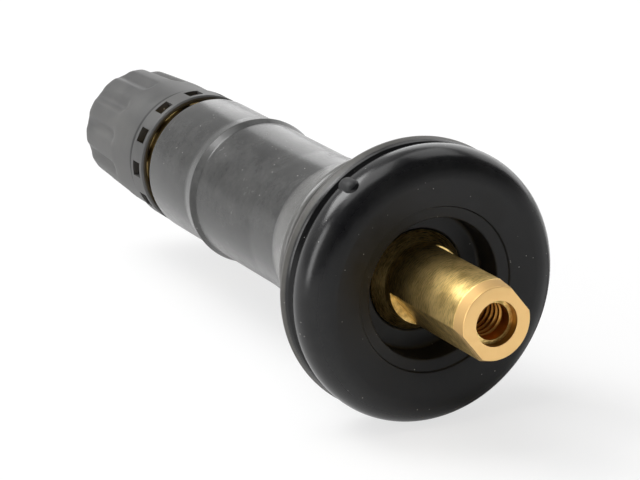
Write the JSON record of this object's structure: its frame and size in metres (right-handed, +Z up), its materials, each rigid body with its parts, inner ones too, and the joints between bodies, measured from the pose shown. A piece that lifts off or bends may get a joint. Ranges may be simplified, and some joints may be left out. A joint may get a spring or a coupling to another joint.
{
  "type": "tyre valve",
  "caption": "Snap-in rubber tyre valve on a brass stem, with a flatted sensor spigot and tapped tip, a flanged rim seat, a screw-on dust cap and a spring-loaded core.",
  "frame": {"origin": "on the valve's axis, at the flange's face that seats on the inside of the rim", "axes": "+Y along the valve's axis, out of the wheel towards the cap; the sensor end points to -Y; +Z up"},
  "size_m": [0.019, 0.055, 0.019],
  "materials": {
    "rubber": "semi-gloss moulded rubber",
    "brass": "turned",
    "cap_plastic": "moulded, satin",
    "seal_rubber": "matt",
    "seal_ring": "satin",
    "steel": "drawn wire"
  },
  "bodies": {
    "valve": {"rubber_body": "rubber", "brass_stem": "brass", "core_plug": "brass", "core_barrel": "brass", "barrel_seal": "seal_ring", "core_spring": "steel"},
    "seal": {"cap_seal": "seal_rubber"},
    "cap": {"dust_cap": "cap_plastic"},
    "pin": {"core_pin": "steel", "pin_cup": "brass", "cup_seal": "seal_rubber"}
  },
  "joints": [
    {"name": "cap_lift", "type": "slide", "parent": "valve", "child": "seal", "axis": [0, 1, 0], "range_m": [0, 0.00953]},
    {"name": "cap_turn", "type": "hinge", "parent": "seal", "child": "cap", "pos_m": [0, 0.0366, 0], "axis": [0, 1, 0], "range_deg": [0, 4320]},
    {"name": "pin_press", "type": "slide", "parent": "valve", "child": "pin", "axis": [0, -1, 0], "range_m": [0, 0.0012], "stiffness_N_per_m": 800, "deforming": ["core_spring"]}
  ],
  "couplings": [
    {"joint": "cap_turn", "follows": "cap_lift", "rad_per_m": 7913.3}
  ]
}
